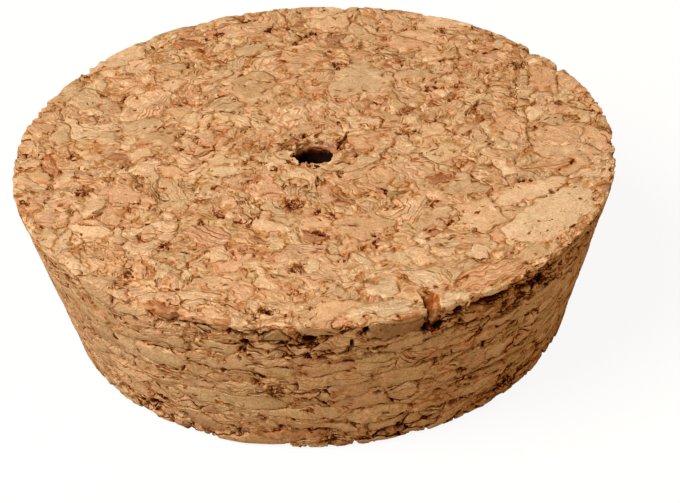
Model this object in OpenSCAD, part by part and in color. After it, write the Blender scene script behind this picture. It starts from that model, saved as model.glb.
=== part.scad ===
// Tapered stopper of agglomerated cork, one solid piece with a small hole drilled down its axis.
// It stands on its narrow face: origin at the middle of that face, +Z up, millimetres.

/* [Body] */
// Diameter of the wide top face
top_d = 100; // [70:1:140]
// Diameter of the narrow bottom face
bottom_d = 83; // [60:1:120]
// Height from the bottom face to the top face
body_h = 30; // [20:1:50]
// Width of the worn corner round the top face
top_edge = 0.3; // [0.1:0.1:1]
// Width of the worn corner round the bottom face
bottom_edge = 0.6; // [0.1:0.1:1.5]

/* [Centre hole] */
// Diameter of the drilled hole
hole_d = 6.4; // [4:0.2:10]
// Depth to which the hole's mouth is torn open
mouth_depth = 2; // [1:0.1:4]
// How far the larger tear reaches out from the hole's wall
tear_reach = 1.5; // [0.5:0.1:4]
// How far the crack runs on from the larger tear
crack_reach = 5; // [1:0.5:8]
// Width of that crack
crack_w = 0.5; // [0.2:0.1:1]

/* [Top rim] */
// Width of the groove that a lost sliver left across the rim
groove_w = 1.5; // [0.8:0.1:3]
// How far the groove runs in from the rim
groove_run = 6; // [2:0.5:8]
// Depth of the groove below the top face
groove_depth = 1.8; // [0.5:0.1:2.5]
// Width of the V nick in the rim
nick_w = 3; // [1:0.1:5]
// Depth of the V nick, in from the rim and down from the top face
nick_depth = 1.8; // [0.5:0.1:3]
// Height of each flake lost from under the rim
flake_h = 2.2; // [1:0.1:4]
// Depth of those lost flakes into the wall
flake_depth = 1.2; // [0.5:0.1:2.5]
// Number of small chips round the top rim
top_chips = 26; // [8:1:36]

/* [Wall and base] */
// Spacing of the small hollows, round the wall and up it
hollow_pitch = 8; // [7:0.5:14]
// Width of a typical small hollow, along the wall
hollow_w = 2.8; // [1.5:0.1:4]
// Height of a typical small hollow, up the wall
hollow_h = 1.2; // [0.6:0.1:2]
// Depth of a typical small hollow, into the wall
hollow_depth = 1.4; // [0.5:0.1:2.5]
// Number of small chips round the bottom rim
bottom_chips = 18; // [8:1:30]

/* [Hidden] */
$fn = 96;
CORK = [0.82, 0.63, 0.45];

// How far each cutter stands clear of the face that it opens
over = 1;
// Angle between the wall and the axis
lean = atan((top_d - bottom_d) / 2 / body_h);
// Corners round the mouth of a hollow
corners = 6;
// Height of the lip left above the first lost flake, the arc that the flakes ran along, the gap
// between them and how much lower the second one lies
flake_lip = 0.9;
flake_from = -62;
flake_to = -44;
flake_gap = 3;
flake_drop = 1.4;
// Where the groove and the nick sit round the rim, and the groove's turn off the radius
groove_angle = -70;
groove_turn = -12;
nick_angle = 143;

// Granules lost from the wall: [angle round the axis, share of the height, width, height, depth]
LOST_GRANULES = [
    [-125, 0.85, 1.8, 1.6, 2.0],
    [-116, 0.90, 2.4, 0.9, 1.4],
    [-111, 0.88, 1.6, 1.0, 1.4],
    [-103.8, 0.918, 2.8, 1.6, 2.6],
    [-103.4, 0.855, 1.0, 2.6, 2.0],
    [-100.6, 0.812, 1.4, 0.9, 1.4],
    [-105, 0.735, 0.8, 1.8, 1.2],
    [-93.3, 0.835, 1.6, 0.9, 1.8],
    [-91.9, 0.888, 3.0, 2.4, 3.2],
    [-89, 0.905, 2.6, 1.0, 2.0],
    [-89.6, 0.75, 1.8, 1.1, 1.4],
    [-84.2, 0.84, 0.8, 3.6, 1.4],
    [-81.6, 0.938, 1.4, 2.4, 2.6],
    [-80.2, 0.862, 2.8, 1.2, 2.0],
    [-81.5, 0.75, 1.6, 0.8, 1.2],
    [-70.5, 0.85, 1.3, 2.6, 2.6],
    [-64.4, 0.925, 2.0, 3.0, 2.4],
    [-57.5, 0.905, 4.2, 1.3, 2.2],
    [-53.4, 0.835, 1.8, 2.6, 2.2],
    [-50.4, 0.89, 2.6, 0.9, 1.8],
    [-43.5, 0.835, 2.2, 2.6, 2.2],
    [-129, 0.09, 2.8, 1.8, 2.0],
    [-121, 0.14, 1.6, 2.2, 2.4],
    [-103, 0.26, 1.6, 1.0, 1.6],
    [-96, 0.17, 1.8, 0.9, 1.6],
    [-79, 0.43, 1.8, 1.2, 1.6],
    [-77, 0.25, 1.6, 0.8, 1.4],
    [-74, 0.11, 1.6, 2.2, 2.2],
    [-61.5, 0.17, 2.2, 2.2, 2.4],
    [-61, 0.43, 2.2, 1.4, 1.6],
    [-57, 0.32, 2.4, 1.0, 1.8],
    [-17, 0.62, 3.2, 1.4, 1.8],
    [32, 0.80, 3.4, 1.6, 2.2],
    [58, 0.28, 3.0, 1.4, 1.8],
    [96, 0.70, 3.6, 1.6, 2.2],
    [134, 0.38, 2.8, 1.4, 1.8],
    [171, 0.82, 3.2, 1.8, 2.2],
    [205, 0.45, 3.0, 1.2, 1.8]
];

// Cracks between flattened granules: [middle angle, share of the height, length, gape, depth, tilt]
CRACKS = [
    [-49.5, 0.355, 9, 0.7, 2.0, -4],
    [-98, 0.88, 5, 0.5, 1.4, -3],
    [-67, 0.80, 7, 0.5, 1.4, 10],
    [-52.3, 0.755, 6.5, 0.9, 2.0, 5],
    [-82.8, 0.795, 3, 0.5, 1.2, 8],
    [-78.4, 0.735, 4.5, 0.6, 1.4, -16],
    [-102.5, 0.69, 3, 0.5, 1.2, 10],
    [-89, 0.05, 4, 0.6, 1.6, 12],
    [-60, 0.58, 6, 0.6, 1.4, 14],
    [-84, 0.72, 5, 0.5, 1.2, 4],
    [-112, 0.62, 6, 0.5, 1.2, -10],
    [-140, 0.50, 7, 0.6, 1.4, -5],
    [-5, 0.40, 8, 0.6, 1.6, 5],
    [45, 0.55, 7, 0.6, 1.4, -8],
    [80, 0.50, 9, 0.7, 1.8, 6],
    [118, 0.64, 6, 0.5, 1.2, -4],
    [155, 0.55, 8, 0.6, 1.6, 8],
    [188, 0.24, 6, 0.5, 1.2, -6]
];

// Pits in the top face: [angle round the axis, share of the radius, width, length outwards, depth]
TOP_PITS = [
    [-18, 0.71, 2.4, 2.2, 1.4],
    [-21.5, 0.82, 1.8, 1.2, 1.2],
    [-156, 0.76, 1.4, 2.4, 1.0],
    [-156.5, 0.95, 1.2, 1.2, 1.0],
    [-165, 0.90, 1.4, 1.2, 1.0],
    [-175, 0.865, 1.6, 1.2, 1.0],
    [-88, 0.49, 2.2, 2.4, 1.2],
    [-70, 0.535, 1.2, 1.2, 0.9],
    [-99.5, 0.915, 2.2, 2.6, 1.2],
    [-95, 0.97, 2.2, 0.9, 1.0],
    [-81, 0.76, 1.2, 1.2, 1.0],
    [-96, 0.69, 1.0, 1.8, 0.9],
    [-117.5, 0.43, 1.4, 1.2, 0.9],
    [-60.5, 0.17, 1.0, 2.6, 1.0],
    [-6.5, 0.41, 1.2, 1.8, 0.9],
    [15, 0.375, 1.2, 1.2, 0.9],
    [81.5, 0.575, 1.0, 2.2, 1.0]
];

// Chips out of the hole's mouth: [angle, width, reach outwards, depth]
MOUTH_CHIPS = [
    [-171, 1.8, 0.8, 0.9],
    [-131, 1.1, 0.5, 0.6],
    [-104, 0.9, 0.3, 0.5],
    [-47, 2.0, 0.5, 0.6],
    [58, 1.8, 1.2, 1.1],
    [97, 1.4, 0.9, 0.8],
    [128, 1.6, 1.4, 1.0]
];

// Short cracks in the top face behind the hole: [x, y, turn, length, width]
BEHIND_CRACKS = [
    [-1.5, 5.6, 100, 2.4, 0.8],
    [-0.6, 4.2, 150, 1.8, 0.7],
    [0.8, 5.2, 50, 2.2, 0.7],
    [-3.5, 5.8, 90, 1.1, 1.0]
];

// Chips out of the bottom rim: [angle, width, reach across the corner, depth]
BASE_CHIPS = [
    [-135, 3.0, 1.4, 0.8],
    [-89, 3.2, 1.6, 1.2],
    [-47, 3.4, 1.8, 1.4],
    [20, 2.6, 1.4, 0.9],
    [110, 3.0, 1.6, 1.1]
];

// Radius of the wall at height z
function wall_r(z) = (bottom_d + (top_d - bottom_d) * z / body_h) / 2;

// A repeatable value from 0 to 1 for item i of kind k
function chance(i, k) = let (s = sin(i * 127.1 + k * 311.7) * 43758.5453) s - floor(s);

// Smallest angle between two directions round the axis
function apart(a, b) = let (turn = abs(a - b) % 360) min(turn, 360 - turn);

// Distance along the wall between two places on it
function along_wall(angle_a, z_a, angle_b, z_b) =
    norm([apart(angle_a, angle_b) * PI / 180 * wall_r(z_a), z_a - z_b]);

// Whether a small hollow at this place would keep clear of every larger feature of the wall
function is_clear(angle, z) =
    let (room = hollow_w / 2 + 1)
    let (flake_mid = (flake_from + flake_to) / 2)
    let (flake_half = (flake_to - flake_from) / 2 * PI / 180 * wall_r(z))
    min([for (g = LOST_GRANULES) along_wall(angle, z, g[0], g[1] * body_h) - g[2] / 2]) > room
    && min([for (c = CRACKS) along_wall(angle, z, c[0], c[1] * body_h) - c[2] / 2]) > room
    && along_wall(angle, z, flake_mid, body_h - flake_lip - flake_h / 2) - flake_half > room;

// Ring of corners round a hollow, at the distance x out from the face that it opens
function hollow_ring(width, height, x, share, kind) = [
    for (i = [0 : corners - 1])
        let (a = (i + 0.6 * chance(i, kind)) * 360 / corners)
        let (k = share * (0.75 + 0.25 * chance(i + corners, kind)))
        [x, width / 2 * k * cos(a), height / 2 * k * sin(a)]
];

// Angular hollow of a lost granule: it opens towards +X, with its width along Y and height along Z
module hollow(width, height, depth, kind) {
    mouth = hollow_ring(width, height, over, 1.2, kind);
    waist = hollow_ring(width, height, -0.75 * depth, 0.85, kind);
    tip = [-depth, width * 0.1, -height * 0.1];
    polyhedron(
        points = concat(mouth, waist, [tip]),
        faces = concat(
            [[for (i = [corners - 1 : -1 : 0]) i]],
            [for (i = [0 : corners - 1]) let (j = (i + 1) % corners) [j, corners + j, corners + i]],
            [for (i = [0 : corners - 1]) let (j = (i + 1) % corners) [j, corners + i, i]],
            [for (i = [0 : corners - 1]) let (j = (i + 1) % corners) [corners + j, 2 * corners, corners + i]]
        )
    );
}

// Puts a shape that faces +X on the wall, square to its slope
module on_wall(angle, z) {
    rotate([0, 0, angle]) translate([wall_r(z), 0, z]) rotate([0, lean, 0]) children();
}

// Puts a shape that faces +X on the top face, with its height running outwards
module on_top(angle, share) {
    rotate([0, 0, angle]) translate([share * top_d / 2, 0, body_h]) rotate([0, -90, 0]) children();
}

// Puts a shape that faces +X on the corner of a rim at height z, facing up and out or down and out
module on_rim(angle, z, facing) {
    rotate([0, 0, angle]) translate([wall_r(z), 0, z]) rotate([0, facing, 0]) children();
}

// Tapered body: one revolved outline with a worn corner at each rim
module body() {
    rotate_extrude() polygon([
        [0, 0],
        [bottom_d / 2 - bottom_edge, 0],
        [wall_r(bottom_edge), bottom_edge],
        [wall_r(body_h - top_edge), body_h - top_edge],
        [top_d / 2 - top_edge, body_h],
        [0, body_h]
    ]);
}

// Hole drilled right through, on the axis
module centre_hole() {
    translate([0, 0, -over]) cylinder(d = hole_d, h = body_h + 2 * over);
}

// Straight piece of a crack in the top face, from a place on it and along a direction
module crack_leg(x, y, turn, length, width, depth) {
    translate([x, y, -depth]) rotate([0, 0, turn])
        translate([0, -width / 2, 0]) cube([length, width, depth + over]);
}

// Mouth of the hole: two granules torn out beside it, chips round its edge, a crack that runs on from
// the larger tear in two bent pieces, and short cracks behind the hole
module torn_mouth() {
    tear_angle = 22;
    tear_end = hole_d / 2 + tear_reach;
    first_leg = 0.45 * crack_reach;
    crack_start = [tear_end * 0.85 * cos(tear_angle), tear_end * 0.85 * sin(tear_angle)];
    crack_bend = crack_start + first_leg * 0.95 * [cos(52), sin(52)];
    crack_depth = mouth_depth * 0.7;
    translate([0, 0, body_h]) {
        rotate([0, 0, tear_angle]) translate([tear_end / 2, 0, 0])
            rotate([0, -90, 0]) hollow(hole_d * 0.55, tear_end, mouth_depth, 1);
        rotate([0, 0, 156]) translate([tear_end * 0.6, 0, 0])
            rotate([0, -90, 0]) hollow(hole_d * 0.26, tear_end * 1.1, mouth_depth * 1.2, 2);
        crack_leg(crack_start[0], crack_start[1], 52, first_leg, crack_w, crack_depth);
        crack_leg(crack_bend[0], crack_bend[1], 74, crack_reach - first_leg, crack_w * 0.8, crack_depth);
        for (c = MOUTH_CHIPS)
            rotate([0, 0, c[0]]) translate([hole_d / 2, 0, 0])
                rotate([0, -90, 0]) hollow(c[1], 2 * c[2], c[3], abs(c[0]));
        for (b = BEHIND_CRACKS)
            translate([b[0], b[1], 0]) rotate([0, 0, b[2]])
                rotate([0, -90, 0]) hollow(b[4], b[3], crack_depth, 3);
    }
}

// Groove of a lost sliver: wide at its inner end, and falling away outwards across the rim
module rim_groove() {
    fall = 12;
    half = groove_w / 2;
    rotate([0, 0, groove_angle]) translate([top_d / 2, 0, body_h]) rotate([0, fall, groove_turn])
        translate([0, 0, -groove_depth]) linear_extrude(height = groove_depth + 2 * over) polygon([
            [-groove_run, -1.6 * half],
            [-0.5 * groove_run, -0.8 * half],
            [2 * over, -0.8 * half],
            [2 * over, half],
            [-0.5 * groove_run, 1.2 * half],
            [-0.85 * groove_run, 1.9 * half],
            [-groove_run, 1.1 * half]
        ]);
}

// V nick down through the rim
module rim_nick() {
    half = nick_w / 2 * (1 + over / nick_depth);
    rotate([0, 0, nick_angle]) translate([top_d / 2, 0, body_h - nick_depth])
        linear_extrude(height = nick_depth + over)
            polygon([[-nick_depth, 0], [over, -half], [over, half]]);
}

// Flake lost from the wall along an arc, at a height below the rim. Its cutter reaches further out
// than the mouths of the hollows, so that they never touch it face to face when the wall is steep
module lost_flake(from, to, below) {
    high = body_h - below;
    low = high - flake_h;
    rotate([0, 0, from]) rotate_extrude(angle = to - from) polygon([
        [wall_r(high) + 2 * over, high],
        [wall_r(high) + over, high],
        [wall_r(high) - flake_depth, high - 0.3 * flake_h],
        [wall_r(low) - 0.5 * flake_depth, low + 0.2 * flake_h],
        [wall_r(low) + over, low],
        [wall_r(low) + 2 * over, low]
    ]);
}

// Two flakes lost from under the rim, one after the other, with a ridge left between them
module lost_flakes() {
    ridge = (flake_from + flake_to) / 2;
    lost_flake(flake_from, ridge - flake_gap / 2, flake_lip);
    lost_flake(ridge + flake_gap / 2, flake_to, flake_lip + flake_drop);
}

// Crack along the wall: a V section swept round an arc, tilted off the level
module crack(angle, z, length, gape, depth, tilt) {
    sweep = length / wall_r(z) * 180 / PI;
    half = gape / 2 * (1 + over / depth);
    rotate([0, 0, angle]) translate([0, 0, z]) rotate([tilt, 0, 0]) rotate([0, 0, -sweep / 2])
        rotate_extrude(angle = sweep) translate([wall_r(z), 0])
            polygon([[-depth, 0], [over, -half], [over, half]]);
}

// Small hollows scattered over the wall in rows, with gaps where chance or a larger feature leaves one
module small_hollows() {
    rows = floor(body_h / hollow_pitch);
    for (row = [0 : rows - 1]) {
        level = (row + 0.5) * body_h / rows;
        count = floor(2 * PI * wall_r(level) / hollow_pitch);
        for (i = [0 : count - 1]) {
            item = row * 100 + i;
            angle = (i + 0.6 * chance(item, 3)) * 360 / count;
            z = level + (chance(item, 4) - 0.5) * 0.45 * body_h / rows;
            size = 0.5 + 0.7 * chance(item, 5);
            if (chance(item, 6) > 0.35 && is_clear(angle, z))
                on_wall(angle, z) hollow(hollow_w * size, hollow_h * size, hollow_depth * size, item);
        }
    }
}

// Small chips round a rim, at uneven steps and sizes
module rim_chips(count, z, facing, width, kind) {
    for (i = [0 : count - 1]) {
        angle = (i + 0.6 * chance(i, kind)) * 360 / count;
        size = width * (0.5 + 0.7 * chance(i, kind + 1));
        if (apart(angle, groove_angle) > 5 && apart(angle, nick_angle) > 5)
            on_rim(angle, z, facing) hollow(size, size * 0.4, size * 0.2, kind + i);
    }
}

// The whole stopper
module stopper() {
    color(CORK) difference() {
        body();
        centre_hole();
        torn_mouth();
        rim_groove();
        rim_nick();
        lost_flakes();
        for (g = LOST_GRANULES)
            on_wall(g[0], g[1] * body_h) hollow(g[2], g[3], g[4], abs(g[0]));
        for (p = TOP_PITS)
            on_top(p[0], p[1]) hollow(p[2], p[3], p[4], abs(p[0]));
        for (c = CRACKS)
            crack(c[0], c[1] * body_h, c[2], c[3], c[4], c[5]);
        for (c = BASE_CHIPS)
            on_rim(c[0], 0, 45) hollow(c[1], c[2], c[3], abs(c[0]));
        small_hollows();
        rim_chips(top_chips, body_h, -45, 2.6, 7);
        rim_chips(bottom_chips, 0, 45, 2.4, 40);
    }
}

stopper();
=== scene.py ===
"""Looks of a tapered stopper of agglomerated cork.

A fine skin is wrapped on the CAD solid. One field of glued granules, written once as nodes, both
carves that skin and colours it, so that every seam, chip and granule is in the same place in both.
The granule field, the skin's arrays and the places below are in millimetres; meshes, lamps and the
camera are in metres.
"""

import math

import bpy
import numpy as np
from mathutils import Matrix, Vector
from mathutils.bvhtree import BVHTree

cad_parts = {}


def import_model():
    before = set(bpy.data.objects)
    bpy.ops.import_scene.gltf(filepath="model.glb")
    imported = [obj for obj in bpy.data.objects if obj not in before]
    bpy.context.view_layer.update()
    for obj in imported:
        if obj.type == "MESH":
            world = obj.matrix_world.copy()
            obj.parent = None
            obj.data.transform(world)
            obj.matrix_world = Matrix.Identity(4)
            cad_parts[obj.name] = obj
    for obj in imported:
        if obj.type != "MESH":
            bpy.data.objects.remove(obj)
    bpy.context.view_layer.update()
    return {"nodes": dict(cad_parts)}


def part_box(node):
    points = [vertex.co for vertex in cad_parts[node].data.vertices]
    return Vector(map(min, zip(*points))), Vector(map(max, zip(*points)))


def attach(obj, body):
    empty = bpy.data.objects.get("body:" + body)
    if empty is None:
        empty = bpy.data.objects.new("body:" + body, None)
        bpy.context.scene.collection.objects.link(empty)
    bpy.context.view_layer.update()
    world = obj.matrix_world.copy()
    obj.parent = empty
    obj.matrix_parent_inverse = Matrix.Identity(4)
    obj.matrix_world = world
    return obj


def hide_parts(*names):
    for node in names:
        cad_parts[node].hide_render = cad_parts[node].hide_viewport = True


MM = 0.001
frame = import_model()

# The stopper before it was worn: the CAD solid's own height, and the radii of its source
NODE = "stopper"
LOW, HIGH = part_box(NODE)
HEIGHT = (HIGH.z - LOW.z) / MM
TOP_R = 50.0
BASE_R = 41.5
HOLE_R = 3.2

# The skin's grid
STEP = 0.24  # distance between rings
FINEST_RING = 1280  # corners in a ring at the rim
FINEST_RING_R = 51.2  # a ring has half the corners from half this radius down, and so on
MOST_HALVINGS = 3  # how often the corners are halved at most
RIM_ZONE = 3.0  # how far from a rim the skin is pressed in towards the rim's inside
HOLE_ZONE = 1.2  # the same at the two mouths of the hole
STAND_OFF = 1.5  # how far outside the solid the wrapping rays start
RAY_REACH = 8.0  # how far the wrapping rays look for the solid
MOST_TRIANGLES = 196000
SHARP_BEND = math.radians(38)  # edges that bend more than this are shaded sharp

# The sheet that the skin is laid out flat on for baking: its side, and where things lie on it
SHEET = 188.0
TOP_SPOT = (51, 51)  # middle of the top face
BASE_SPOT = (144.5, 43)  # middle of the underside
WALL_SPOT = (1.5, 104)  # lower left corner of the wall's first strip
WALL_STRIPS = (75, 34)  # from one strip of the wall to the next, across and up
WALL_SLANT = 1.04  # about how long the wall's slant is for its height
BORE_SPOT = (155, 104)  # lower left corner of the bore

# Granules
SQUASH = 2.4  # how much the block was pressed flat
CHIP, GRANULE, CRUMB = 8.8, 4.8, 2.1  # mean widths of the three sizes of granule
CHIP_SHARE = 0.18  # share of the block that is chips, near its top and bottom
MORE_CHIPS = 0.24  # what that share grows by halfway up
CRUMB_SHARE = 0.30  # share of the rest that is broken into crumbs
CRUMB_SHAPE = (1, 1, 0.65)  # crumbs are less flat than the rest
STRETCH = 0.42  # how much granules are drawn out lengthways
SLOPE = 0.17  # how much a granule's own face tilts
ROUGH_SIDE = math.radians(-52)  # the bearing where the wall is torn the most
FAR = 100.0  # further than any two places in the cork lie apart

# Granules that stand out, each an oval: middle, half length, half width and half height, bearing of
# its length in degrees, tone, and how ribbed it is
SMOOTH_TAN, WHITISH, RED_BROWN, GREY_BROWN, BROWN, ORANGE = 0.74, 1.06, 1.12, 1.18, 1.24, 1.30
STAND_OUT = [
    ((38, -21.5, 30), (11.0, 4.6, 2.0), 48, SMOOTH_TAN, 0.05),
    ((11, -40.5, 30), (3.0, 2.2, 1.8), 12, WHITISH, 0.3),
    ((26.5, -37.5, 30), (6.5, 2.6, 1.6), 34, 0.25, 0.95),
    ((11, -45.5, 30), (7.0, 2.0, 1.6), 12, WHITISH, 0.95),
    ((21.5, -43.2, 30), (3.8, 1.8, 1.6), 20, WHITISH, 0.95),
    ((27.5, -41.3, 29.6), (2.8, 1.1, 1.2), 36, SMOOTH_TAN, 0.05),
    ((-43, -1, 30), (3.6, 1.7, 1.4), 105, RED_BROWN, 0.7),
    ((-21.3, 38.5, 30), (2.8, 1.1, 1.2), 0, RED_BROWN, 0.7),
    ((20, -9.8, 30), (3.0, 1.5, 1.2), 15, RED_BROWN, 0.9),
    ((13.5, -13.2, 30), (1.3, 0.7, 1.2), 0, GREY_BROWN, 0.6),
    ((-17, -23.3, 30), (4.4, 2.8, 1.6), -35, 0.62, 0.9),
    ((-14.7, -4.5, 30), (2.4, 1.6, 1.4), 20, WHITISH, 0.1),
    ((-0.5, -33, 30), (2.3, 1.6, 1.4), 70, WHITISH, 0.1),
    ((7.3, -31.9, 30), (2.6, 1.6, 1.4), -20, WHITISH, 0.1),
    ((-23.5, -43.2, 29.4), (2.8, 1.3, 1.3), -28, RED_BROWN, 0.5),
    ((38, -7.2, 30), (4.4, 1.5, 1.5), 12, 0.25, 1.0),
    ((-6.7, -48.7, 27.1), (2.2, 1.8, 1.7), -8, GREY_BROWN, 0.3),
    ((-4.0, -49.3, 28.0), (1.0, 1.2, 1.5), -5, ORANGE, 0.5),
    ((12.5, -47.5, 27.2), (7.0, 2.6, 1.7), 16, BROWN, 0.3),
    ((17.4, -45.0, 28.6), (4.4, 1.2, 2.6), 98, ORANGE, 0.4),
    ((-14.5, -42.2, 11.0), (10.5, 3.0, 1.9), -19, SMOOTH_TAN, 0.05),
    ((1.5, -47.0, 19.6), (4.4, 2.0, 1.5), 2, 0.62, 0.1),
    ((-7.2, -46.3, 18.6), (3.6, 2.0, 1.6), -9, SMOOTH_TAN, 0.1),
    ((-4.5, -42.2, 3.8), (6.0, 2.0, 1.5), -6, RED_BROWN, 0.8),
    ((-15.3, -45.9, 24.0), (4.4, 2.0, 1.6), -19, SMOOTH_TAN, 0.1),
    ((-25, -39.5, 18.2), (4.6, 2.0, 2.2), -32, SMOOTH_TAN, 0.1),
    ((8.6, -43.2, 7.4), (6.0, 2.4, 2.2), 12, 0.38, 1.0),
    ((17.0, -41.5, 7.6), (4.4, 2.4, 2.4), 22, 0.86, 1.0),
]
# Where the cork is torn into dark crumbs: middle and radius
CRUMBLED = [
    ((0.4, -23.9, 30), 1.1),
    ((-24, -26.2, 30), 1.2),
    ((-3.3, -34.2, 30), 1.4),
    ((-3.5, -15.7, 30), 1.9),
    ((-9.6, -18.3, 30), 0.8),
    ((9.5, -24.7, 30), 0.5),
    ((-16.9, -30.2, 30), 0.6),
    ((6.1, -36.9, 30), 0.6),
    ((-8.2, -45.1, 30), 1.2),
    ((-37.5, -9.0, 30), 1.6),
    ((33.1, -11.2, 30), 0.6),
    ((4.2, 28.7, 30), 0.9),
    ((35.4, 25.9, 30), 1.6),
    ((23.3, 38.8, 30), 1.2),
    ((16.3, 5.1, 30), 1.2),
    ((-10, -14.1, 30), 0.8),
    ((4.0, 1.2, 30), 1.4),
    ((4.6, 2.6, 30), 0.8),
    ((-4.6, 1.6, 30), 0.9),
    ((-1.4, 5.6, 30), 0.9),
    ((-10.1, -45.1, 16.5), 0.8),
    ((-7.2, -45.0, 14.2), 1.5),
    ((-4.7, -44.4, 11.4), 0.9),
    ((-2.6, -44.4, 9.9), 0.8),
    ((11.6, -41.0, 3.6), 0.9),
    ((3.4, -44.2, 9.8), 0.5),
    ((-26.4, -33.0, 2.7), 1.3),
    ((0.6, -42.0, 1.9), 1.4),
    ((-9.5, -42.6, 7.5), 0.8),
    ((17.8, -47.2, 26.8), 1.0),
    ((-39.4, 28.0, 30), 0.9),
]
# Where the wall's granules are small and their seams stand open: middle and half sizes
OPEN_PLACES = [
    ((-2, -46.5, 26.0), (21, 6, 4.0)),
    ((33, -37, 25.0), (14, 9, 4.5)),
]


# ------------------------------------------------------------------ node networks


class Net:
    """Adds nodes to a shader tree or a geometry tree, and links or sets their inputs."""

    def __init__(self, tree):
        self.tree = tree

    def node(self, kind, **settings):
        made = self.tree.nodes.new(kind)
        for name, value in settings.items():
            setattr(made, name, value)
        return made

    def feed(self, socket, value):
        if isinstance(value, bpy.types.NodeSocket):
            self.tree.links.new(value, socket)
        else:
            socket.default_value = value

    def math(self, operation, *values):
        made = self.node("ShaderNodeMath", operation=operation)
        for socket, value in zip(made.inputs, values):
            self.feed(socket, value)
        return made.outputs[0]

    def add(self, a, b):
        return self.math("ADD", a, b)

    def sub(self, a, b):
        return self.math("SUBTRACT", a, b)

    def mul(self, a, b):
        return self.math("MULTIPLY", a, b)

    def above(self, a, b):
        return self.math("GREATER_THAN", a, b)

    def vector(self, operation, *values):
        made = self.node("ShaderNodeVectorMath", operation=operation)
        for socket, value in zip(made.inputs, values):
            self.feed(socket, value)
        return made.outputs["Value" if operation in ("DOT_PRODUCT", "LENGTH", "DISTANCE") else "Vector"]

    def scaled(self, vector, factor):
        made = self.node("ShaderNodeVectorMath", operation="SCALE")
        self.feed(made.inputs[0], vector)
        self.feed(made.inputs["Scale"], factor)
        return made.outputs["Vector"]

    def parts(self, vector):
        made = self.node("ShaderNodeSeparateXYZ")
        self.feed(made.inputs[0], vector)
        return made.outputs[0], made.outputs[1], made.outputs[2]

    def joined(self, x, y, z):
        made = self.node("ShaderNodeCombineXYZ")
        for socket, value in zip(made.inputs, (x, y, z)):
            self.feed(socket, value)
        return made.outputs[0]

    def blend(self, kind, factor, a, b):
        """Mixes two floats, vectors or colours."""
        made = self.node("ShaderNodeMix", data_type=kind)
        sockets = [s for s in made.inputs if s.enabled]
        self.feed(sockets[0], factor)
        self.feed(sockets[1], a)
        self.feed(sockets[2], b)
        return next(s for s in made.outputs if s.enabled)

    def smooth(self, value, start, end, low=0.0, high=1.0):
        """Runs smoothly from low to high as value goes from start to end."""
        made = self.node("ShaderNodeMapRange", interpolation_type="SMOOTHSTEP")
        for socket, item in zip(made.inputs, (value, start, end, low, high)):
            self.feed(socket, item)
        return made.outputs[0]

    def noise(self, at, wavelength, detail=0.0, roughness=0.5, three=False):
        """Smooth noise from 0 to 1: one number, or three of them."""
        made = self.node("ShaderNodeTexNoise", noise_dimensions="3D")
        self.feed(made.inputs["Vector"], at)
        self.feed(made.inputs["Scale"], 1 / wavelength)
        self.feed(made.inputs["Detail"], detail)
        self.feed(made.inputs["Roughness"], roughness)
        return made.outputs["Color"] if three else made.outputs[0]

    def oval(self, at, middle, halves, bearing):
        """How far inside an oval a place is, in millimetres: a negative depth is outside it."""
        turned = self.node("ShaderNodeVectorRotate", rotation_type="Z_AXIS")
        self.feed(turned.inputs["Vector"], at)
        turned.inputs["Center"].default_value = middle
        turned.inputs["Angle"].default_value = -math.radians(bearing)
        shares = [1 / half for half in halves]
        start = [-place / half for place, half in zip(middle, halves)]
        share = self.vector("LENGTH", self.vector("MULTIPLY_ADD", turned.outputs[0], shares, start))
        return self.math("MULTIPLY_ADD", share, -min(halves[:2]), min(halves[:2]))

    def wander(self, at, wavelength, reach, detail=0.0):
        """A vector that wanders by up to about half of reach each way."""
        ways = self.noise(at, wavelength, detail, three=True)
        return self.scaled(self.vector("SUBTRACT", ways, (0.5, 0.5, 0.5)), reach)

    def shuffled(self, vector):
        """Three fresh random numbers that depend only on the vector."""
        made = self.node("ShaderNodeTexWhiteNoise", noise_dimensions="3D")
        self.feed(made.inputs["Vector"], vector)
        return made.outputs["Color"]

    def cells(self, at, width):
        """Random numbers of the nearest cell, its middle, and the distance to its edge."""
        nearest = self.node("ShaderNodeTexVoronoi", feature="F1")
        edge = self.node("ShaderNodeTexVoronoi", feature="DISTANCE_TO_EDGE")
        for made in (nearest, edge):
            self.feed(made.inputs["Vector"], at)
            self.feed(made.inputs["Scale"], 1 / width)
        away = self.mul(edge.outputs["Distance"], width)
        return nearest.outputs["Color"], nearest.outputs["Position"], away


# ------------------------------------------------------------------ the granule field


def most(net, *values):
    """The largest of several values."""
    found = values[0]
    for value in values[1:]:
        found = net.math("MAXIMUM", found, value)
    return found


def below_skin(net, at):
    """How far a place lies under the stopper's uncut faces, under its wall, and off its axis."""
    x, y, z = net.parts(at)
    from_axis = net.math("SQRT", net.add(net.mul(x, x), net.mul(y, y)))
    lean = (TOP_R - BASE_R) / HEIGHT
    wall = net.mul(net.sub(net.add(BASE_R, net.mul(z, lean)), from_axis), math.cos(math.atan(lean)))
    faces = net.math("MINIMUM", z, net.sub(HEIGHT, z))
    return net.math("MAXIMUM", net.math("MINIMUM", wall, faces), 0.0), wall, from_axis


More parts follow.
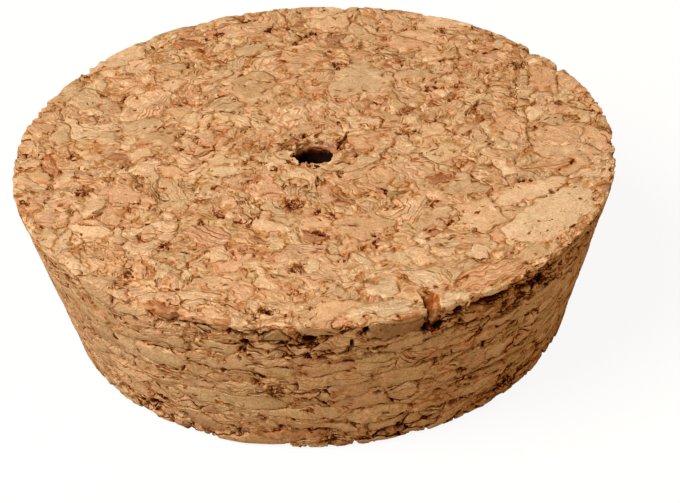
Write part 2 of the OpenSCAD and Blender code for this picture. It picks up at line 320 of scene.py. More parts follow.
def standing_out(net, at):
    """The granules that stand out: whether the place is in one, how far it is from the nearest edge
    of one, and that granule's numbers, the direction of its length and the way from its middle.
    """
    nearest, looks, middle = FAR, (0, 0, 0), (0, 0, 0)
    for place, halves, bearing, tone, ribbed in STAND_OUT:
        depth = net.oval(at, place, halves, bearing)
        within = net.above(depth, 0.0)
        nearest = net.math("MINIMUM", nearest, net.math("ABSOLUTE", depth))
        looks = net.blend("VECTOR", within, looks, (tone, math.radians(bearing), ribbed))
        middle = net.blend("VECTOR", within, middle, place)
    tone, turn, ribbed = net.parts(looks)
    # Outside every oval the tone is still 0
    inside = net.above(tone, 0.01)
    run = net.joined(net.math("COSINE", turn), net.math("SINE", turn), 0.0)
    return inside, nearest, net.joined(tone, 0.5, ribbed), run, net.vector("SUBTRACT", at, middle)


def crumbled(net, at):
    """How far a place is inside one of the crumbled spots, from 0 to 1."""
    nearest = FAR
    for place, radius in CRUMBLED:
        away = net.sub(net.vector("DISTANCE", at, place), radius)
        nearest = net.math("MINIMUM", nearest, away)
    return net.smooth(nearest, 0.6, -0.5)


def packed_granule(net, shifted, open_place):
    """The granule that a place is in, in the packing of large chips, granules and crumbs.

    Gives its random numbers, the level direction it is drawn out in, the way from its middle, the
    distance to its edge, whether it is a crumb, and the place in the block before it was pressed.
    """
    x, y, z = net.parts(shifted)
    unpressed = net.joined(x, y, net.mul(z, SQUASH))
    chip, chip_mid, chip_edge = net.cells(unpressed, CHIP)
    # Granules within a chip's reach are drawn out along one level direction
    run = net.vector("NORMALIZE", net.vector("MULTIPLY_ADD", chip, (1, 1, 0), (-0.5, -0.5, 0)))
    reach = net.vector("DOT_PRODUCT", run, net.vector("SUBTRACT", unpressed, chip_mid))
    drawn = net.vector("SUBTRACT", unpressed, net.scaled(run, net.mul(reach, STRETCH)))
    grain, grain_mid, grain_edge = net.cells(drawn, GRANULE)
    crumb, crumb_mid, crumb_edge = net.cells(net.vector("MULTIPLY", drawn, CRUMB_SHAPE), CRUMB)
    crumb_mid = net.vector("DIVIDE", crumb_mid, CRUMB_SHAPE)
    # Between the rims more of the cells are chips
    between = net.mul(net.smooth(z, 4.0, 9.0), net.smooth(z, 26.0, 21.0))
    is_chip = net.above(net.parts(chip)[0], net.sub(1 - CHIP_SHARE, net.mul(between, MORE_CHIPS)))
    more_crumbs = net.mul(open_place, net.smooth(z, 10.0, 20.0, 0.0, 0.5))
    is_crumb = net.above(net.parts(grain)[1], net.sub(1 - CRUMB_SHARE, more_crumbs))
    own = net.blend("VECTOR", is_chip, net.blend("VECTOR", is_crumb, grain, crumb), chip)
    middle = net.blend("VECTOR", is_chip, net.blend("VECTOR", is_crumb, grain_mid, crumb_mid), chip_mid)
    offset = net.vector("SUBTRACT", net.blend("VECTOR", is_chip, drawn, unpressed), middle)
    edge = net.math("MINIMUM", grain_edge, chip_edge)
    edge = net.blend("FLOAT", is_crumb, edge, net.math("MINIMUM", edge, crumb_edge))
    edge = net.blend("FLOAT", is_chip, edge, chip_edge)
    crumbly = net.mul(is_crumb, net.sub(1.0, is_chip))
    return net.shuffled(own), run, offset, edge, crumbly, unpressed


def seam_gape(net, at, unpressed, open_place, on_wall, near_rim):
    """How far open the glue seams are, from 0 to 1.

    On the wall they open more near the rims and on the rough side.
    """
    gape = net.noise(unpressed, wavelength=7.0, detail=2.0, roughness=0.6)
    level_at = net.vector("NORMALIZE", net.vector("MULTIPLY", at, (1, 1, 0)))
    towards = net.vector("DOT_PRODUCT", level_at, (math.cos(ROUGH_SIDE), math.sin(ROUGH_SIDE), 0))
    torn = net.add(net.mul(near_rim, 0.09), net.smooth(towards, 0.75, 1.0, -0.01, 0.06))
    least = net.sub(0.52, net.mul(on_wall, torn))
    least = net.sub(least, net.mul(open_place, net.mul(on_wall, 0.06)))
    return net.smooth(gape, least, net.add(least, 0.18))


def granule_field(net, at):
    """What the cork is like at a place, as a dictionary.

    own: three random numbers of its granule; edge: distance to the granule's edge; offset: way from
    its middle; slope: height on its own slope; run: direction it is drawn out in; gape: how far open
    its seams are; lost, crumbly: whether it has come away, or is a crumb; deep: depth under the uncut
    faces; at: the place itself. The others go from 0 to 1: on the wall, in the calm middle of the wall,
    in a crumbled spot, at a crevice, by a rim and by the hole.
    """
    shifted = net.vector("ADD", at, net.wander(at, wavelength=4.0, reach=3.2, detail=1.0))
    shifted = net.vector("ADD", shifted, net.wander(at, wavelength=1.1, reach=0.6))
    open_place = most(net, *[net.oval(at, place, halves, 0) for place, halves in OPEN_PLACES])
    open_place = net.smooth(open_place, 0.0, 1.5)
    own, run, offset, edge, crumbly, unpressed = packed_granule(net, shifted, open_place)
    inside, nearest, own_there, run_there, offset_there = standing_out(net, shifted)
    own = net.blend("VECTOR", inside, own, own_there)
    run = net.blend("VECTOR", inside, run, run_there)
    offset = net.blend("VECTOR", inside, offset, offset_there)
    edge = net.blend("FLOAT", inside, net.math("MINIMUM", edge, nearest), nearest)
    crumbly = net.mul(crumbly, net.sub(1.0, inside))
    deep, wall, from_axis = below_skin(net, at)
    above_base = net.parts(at)[2]
    below_top = net.sub(HEIGHT, above_base)
    on_wall = net.mul(net.smooth(wall, 1.0, 3.5, 1.0, 0.0), net.smooth(below_top, 0.1, 1.4))
    near_rim = net.smooth(net.math("ABSOLUTE", net.sub(above_base, HEIGHT / 2)), 5.0, 13.0)
    gape = seam_gape(net, at, unpressed, open_place, on_wall, near_rim)
    # A few crumbs have come away, more of them from the wall and where seams are open
    loose = net.add(0.012, net.mul(gape, net.add(0.02, net.mul(on_wall, 0.06))))
    lost = net.above(net.parts(own)[2], net.sub(1.0, loose))
    # Crevices run along the seams here and there, a little more of them on the wall
    fewest = net.sub(0.60, net.mul(on_wall, 0.03))
    crevice = net.smooth(net.noise(at, wavelength=2.2, detail=1.0), fewest, net.add(fewest, 0.08))
    # Round each rim the outermost granules are chipped, the most at the top
    faces = net.math("MINIMUM", below_top, above_base)
    by_rim = net.smooth(net.math("MAXIMUM", wall, faces), 0.2, 1.7, 1.0, 0.0)
    by_rim = net.mul(by_rim, net.smooth(below_top, 5.0, 25.0, 1.0, 0.2))
    return {
        "own": own,
        "edge": edge,
        "offset": offset,
        "slope": net.vector("DOT_PRODUCT", offset, net.vector("SUBTRACT", own, (0.5, 0.5, 0.5))),
        "run": run,
        "gape": gape,
        "lost": net.mul(lost, crumbly),
        "deep": deep,
        "on_wall": on_wall,
        "calm": net.mul(on_wall, net.sub(1.0, near_rim)),
        "crumbly": crumbly,
        "crumbled": crumbled(net, net.vector("ADD", at, net.wander(at, wavelength=1.1, reach=1.2))),
        "crevice": crevice,
        "by_rim": by_rim,
        "by_hole": net.smooth(from_axis, HOLE_R + 0.8, HOLE_R + 1.8, 1.0, 0.0),
        "at": at,
    }


def seam_depth(net, field, steep):
    """How deep an open seam or a crevice is."""
    on_wall = field["on_wall"]
    width = net.add(0.15, net.mul(field["gape"], net.add(0.10, net.mul(on_wall, 0.20))))
    width = net.add(width, net.mul(field["crevice"], 0.25))
    seam = net.smooth(field["edge"], 0.0, width, 1.0, 0.0)
    open_by = net.mul(net.mul(field["gape"], net.add(0.2, net.mul(on_wall, 0.4))), steep)
    return net.mul(seam, net.add(open_by, net.mul(field["crevice"], 0.45)))


def torn_depth(net, field):
    """How deep the cork is torn by the hole, in the crumbled spots and by the rims."""
    rough = net.noise(field["at"], wavelength=0.9, detail=1.0)
    ragged = net.mul(field["by_hole"], net.mul(rough, 0.5))
    torn = net.mul(field["crumbled"], net.smooth(rough, 0.50, 0.60, 0.0, 0.55))
    chips = net.smooth(net.noise(field["at"], wavelength=3.4, detail=1.5), 0.51, 0.66, 0.0, 0.8)
    chips = net.mul(chips, field["by_rim"])
    return net.add(net.add(ragged, torn), chips)


def relief(net, field):
    """How deep the surface lies below the cut face, in millimetres."""
    first, second, _ = net.parts(field["own"])
    # Each granule is torn or cut at its own level and slope, less so in the middle of the wall
    steep = net.sub(1.0, net.mul(field["calm"], 0.5))
    level = net.mul(net.add(0.08, net.mul(first, 0.15)), steep)
    slope = net.mul(net.mul(field["slope"], SLOPE), steep)
    seam = seam_depth(net, field, steep)
    # Pits that lost granules leave
    deepest = net.mul(net.add(0.5, second), net.add(0.5, net.mul(field["on_wall"], 0.8)))
    pit = net.mul(field["lost"], net.math("MINIMUM", net.mul(field["edge"], 4.5), deepest))
    found = net.add(net.add(level, slope), net.add(seam, pit))
    return net.math("MAXIMUM", net.add(found, torn_depth(net, field)), 0.0)


# ------------------------------------------------------------------ the skin


def ring_size(radius):
    """Corners in a ring of this radius: halved each time the radius halves."""
    halvings = max(0, math.floor(math.log2(FINEST_RING_R / max(radius, HOLE_R))))
    return FINEST_RING >> min(halvings, MOST_HALVINGS)


def steps(start, end):
    """Even steps from start up to but not including end, both (radius, height) pairs."""
    count = max(1, round(math.dist(start, end) / STEP))
    return [
        tuple(a + (b - a) * i / count for a, b in zip(start, end))
        for i in range(count)
    ]


def outline():
    """The section's closed outline as (radius, height) points, once round from the hole's mouth, and
    its four corners.
    """
    corners = [(HOLE_R, HEIGHT), (TOP_R, HEIGHT), (BASE_R, 0.0), (HOLE_R, 0.0)]
    points = []
    for start, end in zip(corners, corners[1:] + corners[:1]):
        points += steps(start, end)
    return np.array(points), np.array(corners)


def unit(v):
    """Vectors of length 1 in the same directions."""
    return v / np.linalg.norm(v, axis=-1, keepdims=True)


def inward(points, corners):
    """The direction into the solid at each point of the outline, turning evenly round each corner."""
    ahead = unit(np.roll(points, -1, 0) - points)
    directions = np.stack([ahead[:, 1], -ahead[:, 0]], 1)
    for i, corner in enumerate(corners):
        zone = HOLE_ZONE if corner[0] <= HOLE_R else RIM_ZONE
        before, after = corners[i - 1], corners[(i + 1) % len(corners)]
        back, on = unit(before - corner), unit(after - corner)
        half = math.acos(np.clip(back @ on, -1, 1)) / 2
        middle = corner + unit(back + on) * zone / math.cos(half)
        reach = np.linalg.norm(points - corner, axis=1)
        sides = [np.abs((points - corner) @ side - reach) < 1e-6 for side in (back, on)]
        turning = (reach < zone) & (sides[0] | sides[1])
        directions[turning] = unit(middle - points[turning])
    return directions


def skin_grid():
    """Vertices, inward directions and triangles of the fine skin before it is wrapped."""
    points, corners = outline()
    directions = inward(points, corners)
    sizes = [ring_size(r) for r, _ in points]
    starts = np.concatenate([[0], np.cumsum(sizes)])
    places, presses = [], []
    for (r, z), (dr, dz), size in zip(points, directions, sizes):
        turn = np.arange(size) * 2 * math.pi / size
        c, s = np.cos(turn), np.sin(turn)
        places.append(np.stack([r * c, r * s, np.full(size, z)], 1))
        presses.append(np.stack([dr * c, dr * s, np.full(size, dz)], 1))
    faces = []
    for i, size in enumerate(sizes):
        j = (i + 1) % len(sizes)
        faces.append(stitched(starts[i], size, starts[j], sizes[j]))
    return np.concatenate(places), np.concatenate(presses), np.concatenate(faces)


def stitched(here, size, there, other):
    """Triangles between two rings, where one may have twice the corners of the other."""
    if size == other:
        a = np.arange(size)
        b = (a + 1) % size
        return np.concatenate([
            np.stack([here + a, there + a, there + b], 1),
            np.stack([here + a, there + b, here + b], 1),
        ])
    few = min(size, other)
    coarse, fine = (here, there) if size < other else (there, here)
    a = np.arange(few)
    b = (a + 1) % few
    mid, last = 2 * a + 1, (2 * a + 2) % (2 * few)
    found = np.concatenate([
        np.stack([coarse + a, fine + 2 * a, fine + mid], 1),
        np.stack([coarse + a, fine + mid, coarse + b], 1),
        np.stack([coarse + b, fine + mid, fine + last], 1),
    ])
    return found if size < other else found[:, ::-1]


def mesh_of(name, places, faces):
    """A mesh from arrays of places in metres and triangles."""
    mesh = bpy.data.meshes.new(name)
    mesh.vertices.add(len(places))
    mesh.vertices.foreach_set("co", places.astype(np.float32).ravel())
    mesh.loops.add(faces.size)
    mesh.loops.foreach_set("vertex_index", faces.astype(np.int32).ravel())
    mesh.polygons.add(len(faces))
    mesh.polygons.foreach_set("loop_start", np.arange(0, faces.size, 3, dtype=np.int32))
    mesh.update(calc_edges=True)
    mesh.validate()
    return mesh


def cut_depth(places, presses):
    """How deep the CAD solid's own surface lies below each place, along its inward direction."""
    solid = frame["nodes"][NODE].data
    solid.calc_loop_triangles()
    triangles = [tuple(t.vertices) for t in solid.loop_triangles]
    tree = BVHTree.FromPolygons([v.co for v in solid.vertices], triangles)
    depth = np.zeros(len(places))
    for i, (place, press) in enumerate(zip(places, presses)):
        start = Vector(place - press * STAND_OFF) * MM
        distance = tree.ray_cast(start, Vector(press), RAY_REACH * MM)[3]
        if distance is not None:
            depth[i] = distance / MM - STAND_OFF
    return np.maximum(depth, 0.0)


def carved_depth(skin):
    """The granule relief at each vertex of the skin, worked out by the same nodes that colour it."""
    tree = bpy.data.node_groups.new("cork_relief", "GeometryNodeTree")
    tree.interface.new_socket("Geometry", in_out="INPUT", socket_type="NodeSocketGeometry")
    tree.interface.new_socket("Geometry", in_out="OUTPUT", socket_type="NodeSocketGeometry")
    net = Net(tree)
    start, end = net.node("NodeGroupInput"), net.node("NodeGroupOutput")
    at = net.scaled(net.node("GeometryNodeInputPosition").outputs[0], 1 / MM)
    store = net.node("GeometryNodeStoreNamedAttribute", data_type="FLOAT", domain="POINT")
    net.feed(store.inputs["Geometry"], start.outputs[0])
    store.inputs["Name"].default_value = "carve"
    net.feed(store.inputs["Value"], relief(net, granule_field(net, at)))
    net.feed(end.inputs[0], store.outputs[0])
    skin.modifiers.new("carve", "NODES").node_group = tree
    worked = skin.evaluated_get(bpy.context.evaluated_depsgraph_get()).data
    found = np.empty(len(worked.vertices), np.float32)
    worked.attributes["carve"].data.foreach_get("value", found)
    skin.modifiers.clear()
    return found


def applied(piece):
    """Replaces the piece's mesh with its modified one."""
    worked = piece.evaluated_get(bpy.context.evaluated_depsgraph_get())
    mesh = bpy.data.meshes.new_from_object(worked)
    piece.modifiers.clear()
    piece.data = mesh


def places_of(mesh):
    """The places of a mesh's vertices, in metres."""
    places = np.empty(len(mesh.vertices) * 3, np.float32)
    mesh.vertices.foreach_get("co", places)
    return places.reshape(-1, 3)


def hold_inside(mesh):
    """Brings back vertices that the thinning has put outside the stopper's uncut faces."""
    places = places_of(mesh)
    places[:, 2] = np.clip(places[:, 2], 0.0, HEIGHT * MM)
    reach = np.hypot(places[:, 0], places[:, 1])
    widest = BASE_R * MM + places[:, 2] * (TOP_R - BASE_R) / HEIGHT
    places[:, :2] *= np.minimum(1.0, widest / np.maximum(reach, 1e-6))[:, None]
    mesh.vertices.foreach_set("co", places.ravel())
    mesh.update()


def laid_flat(corners, middles):
    """Where each face's corners lie on the sheet: the two faces, the wall in four strips, the bore."""
    x, y, z = corners[..., 0], corners[..., 1], corners[..., 2]
    reach = np.hypot(middles[:, 0], middles[:, 1])
    wall = BASE_R + middles[:, 2] * (TOP_R - BASE_R) / HEIGHT - reach
    nearest = np.argmin([HEIGHT - middles[:, 2], middles[:, 2], wall, reach - HOLE_R], axis=0)
    turn = np.arctan2(middles[:, 1], middles[:, 0]) % (2 * math.pi)
    bend = (np.arctan2(y, x) - turn[:, None] + math.pi) % (2 * math.pi) - math.pi
    strip = np.floor(turn / (math.pi / 2))
    along = (turn - strip * math.pi / 2)[:, None] + bend
    wall_u = WALL_SPOT[0] + along * (TOP_R + BASE_R) / 2 + (strip % 2)[:, None] * WALL_STRIPS[0]
    wall_v = WALL_SPOT[1] + z * WALL_SLANT + (strip // 2)[:, None] * WALL_STRIPS[1]
    spots = [
        (x + TOP_SPOT[0], y + TOP_SPOT[1]),
        (BASE_SPOT[0] - x, y + BASE_SPOT[1]),
        (wall_u, wall_v),
        (BORE_SPOT[0] + (turn[:, None] + bend) * HOLE_R, BORE_SPOT[1] + z),
    ]
    zone = nearest[:, None]
    return np.stack([np.choose(zone, [spot[i] for spot in spots]) for i in (0, 1)], -1) / SHEET


def add_bake_map(mesh):
    """Gives the skin a map with one place for every part of it."""
    used = np.empty(len(mesh.loops), np.int32)
    mesh.loops.foreach_get("vertex_index", used)
    corners = (places_of(mesh)[used] / MM).reshape(-1, 3, 3)
    flat = laid_flat(corners, corners.mean(1))
    mesh.uv_layers.new(name="OFBake").data.foreach_set("uv", flat.astype(np.float32).ravel())


def cork_skin():
    """The stopper's visible surface."""
    places, presses, faces = skin_grid()
    skin = bpy.data.objects.new("cork_skin", mesh_of("cork_skin", places * MM, faces))
    bpy.context.collection.objects.link(skin)
    depth = cut_depth(places, presses)
    carve = carved_depth(skin)
    places = places + presses * (depth + carve)[:, None]
    skin.data.vertices.foreach_set("co", (places * MM).astype(np.float32).ravel())
    skin.data.update()
    if len(faces) > MOST_TRIANGLES:
        fewer = skin.modifiers.new("fewer", "DECIMATE")
        fewer.ratio = MOST_TRIANGLES / len(faces)
        applied(skin)
    hold_inside(skin.data)
    add_bake_map(skin.data)
    skin.data.polygons.foreach_set("use_smooth", np.ones(len(skin.data.polygons), bool))
    skin.data.set_sharp_from_angle(angle=SHARP_BEND)
    return skin


# ------------------------------------------------------------------ the cork's finish and painted shade


def linear(r, g, b):
    """A colour written as it looks on screen, 0 to 255, in Blender's linear values."""
    def one(v):
        v /= 255
        return v / 12.92 if v <= 0.04045 else ((v + 0.055) / 1.055) ** 2.4
    return (one(r), one(g), one(b), 1.0)


# Granule colours, picked by a granule's first number. Only those that stand out have the last five.
TONES = [
    (0.00, linear(212, 165, 124)),
    (0.12, linear(224, 182, 142)),
    (0.25, linear(208, 154, 112)),
    (0.38, linear(219, 178, 134)),
    (0.50, linear(204, 165, 124)),
    (0.62, linear(217, 162, 124)),
    (0.74, linear(228, 190, 150)),
    (0.86, linear(201, 158, 114)),
    (0.98, linear(221, 170, 128)),
    (WHITISH, linear(226, 192, 152)),
    (RED_BROWN, linear(188, 122, 80)),
    (GREY_BROWN, linear(158, 128, 84)),
    (BROWN, linear(152, 106, 72)),
    (ORANGE, linear(180, 106, 52)),
]
TONES_END = ORANGE
ROSY = linear(216, 150, 114)
PALE = linear(234, 200, 158)
OLIVE = linear(196, 162, 116)
BARK = linear(160, 92, 52)
# Painted shade: the whole wall is coloured darker and browner than the cut faces
WALL_PAINTED_SHADE = (0.935, 0.89, 0.855)  # the wall is a little darker and browner than the cut faces


def darkening_factor(r, g, b):
    """What a stain or the painted shade multiplies a middling granule's colour by to show as this
    colour.
    """
    middling = linear(226, 176, 130)
    return tuple(min(1.0, a / m) for a, m in zip(linear(r, g, b), middling))


# What stains and painted shade multiply the colour by, from clean cork to the black-brown painted shade
# of an open seam
STAIN_AND_SHADE = [
    (0.00, (1.0, 1.0, 1.0, 1.0)),
    (0.30, darkening_factor(202, 138, 83)),
    (0.55, darkening_factor(162, 90, 36)),
    (0.80, darkening_factor(96, 34, 4)),
    (1.00, darkening_factor(30, 6, 0)),
]


def ramp(net, value, stops):
    """A colour that runs through the stops as value goes from 0 to 1."""
    made = net.node("ShaderNodeValToRGB")
    items = made.color_ramp.elements
    while len(items) < len(stops):
        items.new(0.5)
    for item, (place, colour) in zip(items, stops):
        item.position = place
        item.color = colour
    net.feed(made.inputs[0], value)
    return made.outputs[0]


def in_layers(net, at, field):
    """How high a place is across its granule's layers of growth, and how far it is along them.

    The layers bend gently, and run in a direction of the granule's own.
    """
    first = net.parts(field["own"])[0]
    run_x, run_y, _ = net.parts(field["run"])
    tip = net.add(net.mul(first, 0.9), 0.7)
    across = net.joined(net.mul(run_y, net.mul(tip, -1.0)), net.mul(run_x, tip), 0.6)
    direction = net.vector("NORMALIZE", across)
    bent = net.vector("ADD", field["offset"], net.wander(at, wavelength=5.0, reach=2.0))
    bent = net.vector("ADD", bent, net.wander(at, wavelength=1.4, reach=0.35, detail=1.0))
    rise = net.add(net.vector("DOT_PRODUCT", bent, direction), net.mul(field["edge"], 0.2))
    return rise, net.vector("DOT_PRODUCT", bent, field["run"])


def growth_rings(net, field, rise, heavy):
    """How dark the lines of dense cork between layers are, and how far above or below its layer's
    mean shade a place is.
    """
    first, second, third = net.parts(field["own"])
    spacing = net.add(0.55, net.mul(second, 0.6))
    along = net.add(net.math("DIVIDE", rise, spacing), net.mul(third, 9.0))
    count = net.math("FLOOR", net.add(along, 0.5))
    strength = net.parts(net.shuffled(net.joined(count, first, third)))[0]
    ribbed = net.smooth(third, 0.5, 0.92, 0.08, 0.52)
    strength = net.mul(net.smooth(strength, 0.2, 0.9), net.math("MAXIMUM", ribbed, net.mul(heavy, 0.9)))
    away = net.math("ABSOLUTE", net.sub(along, count))
    width = net.add(0.10, net.mul(strength, 0.22))
    line = net.mul(net.smooth(away, 0.0, width, 1.0, 0.0), strength)
    ribs = net.mul(net.sub(net.math("FRACT", along), 0.5), net.smooth(third, 0.1, 0.85, 0.03, 0.34))
    return line, ribs


def streaks_and_flecks(net, field, rise, level, heavy):
    """Fine streaks and dark flecks that run along the layers."""
    first, second, third = net.parts(field["own"])
    layered = net.joined(net.mul(rise, 3.6), net.mul(level, 0.8), net.mul(first, 60.0))
    streaks = net.sub(net.noise(layered, wavelength=1.0, detail=3.0, roughness=0.65), 0.5)
    streaks = net.mul(streaks, net.add(0.25, net.mul(net.math("MAXIMUM", third, heavy), 0.75)))
    layered = net.joined(net.mul(rise, 1.7), net.mul(level, 0.7), net.mul(second, 60.0))
    flecks = net.noise(layered, wavelength=1.0, detail=2.0, roughness=0.6)
    least = net.sub(0.66, net.mul(heavy, 0.18))
    flecks = net.smooth(flecks, least, net.add(least, 0.18))
    return streaks, net.mul(flecks, net.add(0.30, net.mul(heavy, 0.45)))


def seam_stain_and_shade(net, at, field, heavy):
    """How darkly the granule's seam is stained, with painted shade beside it and in crevices, wider and
    darker where it has opened.
    """
    on_wall, gape = field["on_wall"], field["gape"]
    openness = net.math("MAXIMUM", net.mul(heavy, 0.6), gape)
    uneven = net.smooth(net.noise(at, wavelength=1.6, detail=1.0), 0.42, 0.62, 0.04, 1.0)
    # A brown halo beside the seam: painted shade of the gap between granules
    halo = net.smooth(field["edge"], 0.0, 0.55, net.add(0.30, net.mul(openness, 0.2)), 0.0)
    halo = net.mul(net.mul(halo, uneven), net.sub(1.0, net.mul(field["calm"], 0.35)))
    # Dark crumbs in the halo and in the crumbled spots: partly dark cork, partly painted shade in the
    # gaps
    spots = net.smooth(net.noise(at, wavelength=0.38, detail=1.0, roughness=0.6), 0.50, 0.60, 0.0, 0.7)
    crumbs = net.mul(spots, net.smooth(field["edge"], 0.1, 0.8, 0.72, 0.0))
    crumbs = net.mul(crumbs, net.math("MAXIMUM", net.mul(uneven, 0.6), heavy))
    crumbs = net.math("MAXIMUM", crumbs, net.mul(field["crumbled"], net.add(spots, 0.18)))
    halo = net.math("MAXIMUM", halo, crumbs)
    # The dark line of the seam itself, with painted shade where it has opened and at crevices
    width = net.add(net.add(0.07, net.mul(on_wall, 0.03)), net.mul(openness, 0.14))
    width = net.add(width, net.mul(field["crevice"], 0.20))
    dark = net.add(net.mul(uneven, 0.42), net.mul(openness, net.add(0.45, net.mul(on_wall, 0.40))))
    dark = net.math("MAXIMUM", dark, net.mul(field["crevice"], 0.86))
    core = net.mul(net.smooth(field["edge"], 0.0, width, 1.0, 0.0), dark)
    return net.math("MAXIMUM", halo, core)


def hollow_stain_and_shade(net, at, field):
    """How darkly the hollows, cracks and chips below the uncut faces are darkened: partly stained by
    dust and glue, partly painted shade of the hollows.
    """
    on_wall = field["on_wall"]
    jagged = net.mul(net.sub(net.noise(at, wavelength=0.8, detail=2.0, roughness=0.6), 0.5), 1.6)
    below = net.add(field["deep"], net.mul(jagged, net.smooth(field["deep"], 0.15, 0.5)))
    darkest = net.add(0.80, net.mul(on_wall, 0.15))
    fully = net.add(1.05, net.mul(on_wall, 0.40))
    deep = net.smooth(below, 0.50, fully, 0.0, darkest)
    # Down the hole the painted shade darkens more slowly
    deep = net.blend("FLOAT", field["by_hole"], deep, net.smooth(below, 0.9, 2.7, 0.0, 1.0))
    # On orange granules the stain and painted shade are only half as dark
    tone = net.parts(field["own"])[0]
    return net.mul(deep, net.smooth(tone, BROWN + 0.01, ORANGE - 0.02, 1.0, 0.5))


def granule_colour(net, at, field, tint_a, tint_b):
    """The granule's tone, with rosy, pale and olive patches, and bark on some of the crumbs."""
    first, second, _ = net.parts(field["own"])
    tones = [(place / TONES_END, tone) for place, tone in TONES]
    colour = ramp(net, net.mul(first, 1 / TONES_END), tones)
    patches = net.add(1.0, net.mul(field["on_wall"], 0.9))
    rosy = net.mul(net.smooth(tint_a, 0.52, 0.72, 0.0, 0.4), patches)
    colour = net.blend("RGBA", rosy, colour, ROSY)
    colour = net.blend("RGBA", net.smooth(tint_b, 0.52, 0.72, 0.0, 0.6), colour, PALE)
    olive = net.mul(net.smooth(tint_b, 0.48, 0.30, 0.0, 0.45), patches)
    colour = net.blend("RGBA", olive, colour, OLIVE)
    # The whole wall is a little olive, less so towards the right: partly weathering, partly painted
    # sheen of the light from the left
    olive = net.smooth(net.parts(at)[0], 0.0, 35.0, 0.3, 0.08)
    colour = net.blend("RGBA", net.mul(field["on_wall"], olive), colour, OLIVE)
    bark = net.mul(net.above(second, 0.94), field["crumbly"])
    return net.blend("RGBA", net.mul(bark, 0.6), colour, BARK)


def cork_colour(net, at, field):
    """The cork's colour, and the height of its fine relief in millimetres."""
    on_wall = field["on_wall"]
    tints = net.noise(at, wavelength=2.3, detail=2.0, roughness=0.6, three=True)
    tint_a, tint_b, patchy = net.parts(tints)
    # Places where every seam, ring and fleck is heavier
    heavy = net.math("MAXIMUM", net.smooth(patchy, 0.50, 0.68), field["crumbled"])
    colour = granule_colour(net, at, field, tint_a, tint_b)
    rise, level = in_layers(net, at, field)
    line, ribs = growth_rings(net, field, rise, heavy)
    streaks, flecks = streaks_and_flecks(net, field, rise, level, heavy)
    lines = net.math("MAXIMUM", line, flecks)
    # The shade of the layers, streaks and fine speckle
    fine = net.noise(at, wavelength=0.32, detail=1.0, roughness=0.6)
    ribs = net.mul(ribs, net.sub(1.0, net.mul(on_wall, 0.4)))
    speckle = net.mul(net.sub(fine, 0.5), net.add(0.6, net.mul(on_wall, 0.4)))
    shade = net.sub(net.add(0.99, speckle), ribs)
    colour = net.scaled(colour, net.mul(shade, net.smooth(streaks, -0.2, 0.2, 0.78, 1.18)))
    # Painted shade on the wall: darker and browner
    colour = net.blend("RGBA", on_wall, colour, net.vector("MULTIPLY", colour, WALL_PAINTED_SHADE))
    # Stains and painted shade over that, the darkest of them at each place
    # The seam's stain, with painted shade beside it, in it and in crevices
    seam = seam_stain_and_shade(net, at, field, heavy)
    # Stain and painted shade in the hollows and down the hole, darker the deeper they lie
    deep = hollow_stain_and_shade(net, at, field)
    # Painted shade at the bottom of the pits that lost granules leave
    painted_pit_shade = net.mul(field["lost"], net.smooth(field["edge"], 0.05, 0.25, 0.0, 0.95))
    darkening = most(net, lines, seam, deep, painted_pit_shade)
    colour = net.vector("MULTIPLY", colour, ramp(net, darkening, STAIN_AND_SHADE))
    height = net.sub(net.add(net.mul(fine, 0.10), net.mul(streaks, 0.18)), net.mul(ribs, 0.30))
    height = net.sub(height, net.mul(lines, 0.08))
    height = net.sub(height, net.smooth(field["edge"], 0.0, 0.5, 0.15, 0.0))
    height = net.sub(height, net.mul(field["slope"], SLOPE))
    return colour, net.add(height, net.mul(net.add(tint_a, tint_b), 0.16))


def emptied(owner):
    """A net on the node tree of a material or a world, with nothing in it yet."""
    owner.use_nodes = True
    owner.node_tree.nodes.clear()
    return Net(owner.node_tree)


def cork_material():
    """Matt cork, coloured and finely embossed by the granule field."""
    material = bpy.data.materials.new("agglomerated_cork")
    net = emptied(material)
    at = net.scaled(net.node("ShaderNodeTexCoord").outputs["Object"], 1 / MM)
    colour, height = cork_colour(net, at, granule_field(net, at))
    bump = net.node("ShaderNodeBump")
    net.feed(bump.inputs["Height"], height)
    bump.inputs["Strength"].default_value = 1.0
    bump.inputs["Distance"].default_value = MM
    shader = net.node("ShaderNodeBsdfPrincipled")
    net.feed(shader.inputs["Base Color"], colour)
    shader.inputs["Roughness"].default_value = 0.85
    shader.inputs["Specular IOR Level"].default_value = 0.1
    net.feed(shader.inputs["Normal"], bump.outputs[0])
    out = net.node("ShaderNodeOutputMaterial")
    net.feed(out.inputs["Surface"], shader.outputs[0])
    return material


# ------------------------------------------------------------------ stage, lights and camera


def floor():
    """A plain pale floor that shows white to the camera, with the stopper's shadow on it."""
    gap = 0.02 * MM
    bpy.ops.mesh.primitive_plane_add(size=6.0, location=(0, 0, LOW.z - gap))
    plane = bpy.context.object
    plane.name = "floor"
    material = bpy.data.materials.new("floor")
    net = emptied(material)
    diffuse = net.node("ShaderNodeBsdfDiffuse")
    diffuse.inputs["Color"].default_value = (0.52, 0.48, 0.41, 1)
    glow = net.node("ShaderNodeEmission")
    glow.inputs["Color"].default_value = (1, 1, 1, 1)
    glow.inputs["Strength"].default_value = 1.14
    seen = net.node("ShaderNodeLightPath").outputs["Is Camera Ray"]
    both = net.node("ShaderNodeMixShader")
    net.feed(both.inputs[0], net.mul(seen, 0.8))
    net.feed(both.inputs[1], diffuse.outputs[0])
    net.feed(both.inputs[2], glow.outputs[0])
    out = net.node("ShaderNodeOutputMaterial")
    net.feed(out.inputs["Surface"], both.outputs[0])
    plane.data.materials.append(material)


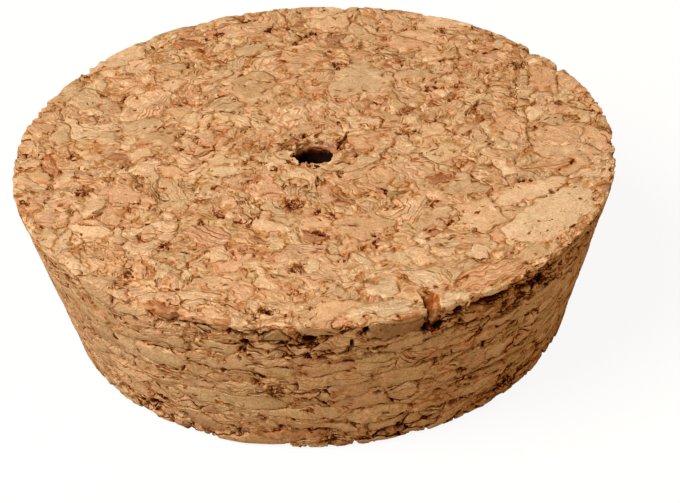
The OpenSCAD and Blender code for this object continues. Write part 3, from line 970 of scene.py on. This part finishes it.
def world():
    """Even warm light from all round, shown as white behind the floor."""
    made = bpy.data.worlds.new("studio")
    net = emptied(made)
    light, shown = net.node("ShaderNodeBackground"), net.node("ShaderNodeBackground")
    light.inputs["Color"].default_value = (1, 0.74, 0.26, 1)
    light.inputs["Strength"].default_value = 0.285
    shown.inputs["Color"].default_value = (1, 1, 1, 1)
    shown.inputs["Strength"].default_value = 1.0
    both = net.node("ShaderNodeMixShader")
    net.feed(both.inputs[0], net.node("ShaderNodeLightPath").outputs["Is Camera Ray"])
    net.feed(both.inputs[1], light.outputs[0])
    net.feed(both.inputs[2], shown.outputs[0])
    net.feed(net.node("ShaderNodeOutputWorld").inputs["Surface"], both.outputs[0])
    bpy.context.scene.world = made


def lamp(name, direction, power, colour):
    """A square soft lamp that faces the stopper from the given direction."""
    distance = 0.9
    light = bpy.data.lights.new(name, "AREA")
    light.shape = "SQUARE"
    light.size = 0.6
    light.energy = power
    light.color = colour
    made = bpy.data.objects.new(name, light)
    bpy.context.collection.objects.link(made)
    away = Vector(direction).normalized()
    made.location = away * distance
    made.rotation_euler = (-away).to_track_quat("-Z", "Y").to_euler()


def camera():
    """A long lens looking down on the stopper, rolled a little."""
    aim = Vector((0.00366, 0, 0.0098))
    distance, elevation, roll = 0.4477, math.radians(34.0), math.radians(-2.484)
    lens = bpy.data.cameras.new("camera")
    lens.sensor_width = 36
    lens.lens = 139.75
    lens.clip_start = 0.01
    made = bpy.data.objects.new("camera", lens)
    bpy.context.collection.objects.link(made)
    back = Vector((0, -math.cos(elevation), math.sin(elevation)))
    turn = (-back).to_track_quat("-Z", "Y").to_matrix().to_4x4()
    made.matrix_world = Matrix.Translation(aim + back * distance) @ turn @ Matrix.Rotation(roll, 4, "Z")
    bpy.context.scene.camera = made


def main():
    """Makes the stopper's skin and the studio."""
    skin = cork_skin()
    skin.data.materials.append(cork_material())
    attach(skin, "root")
    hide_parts(NODE)
    floor()
    world()
    lamp("warm", (0.80, -0.58, 0.12), 1.8, (1.0, 0.62, 0.26))
    lamp("key", (-0.56, -0.34, 0.75), 10.4, (0.98, 1.0, 1.02))
    camera()
    bpy.context.scene.view_settings.view_transform = "Standard"


main()
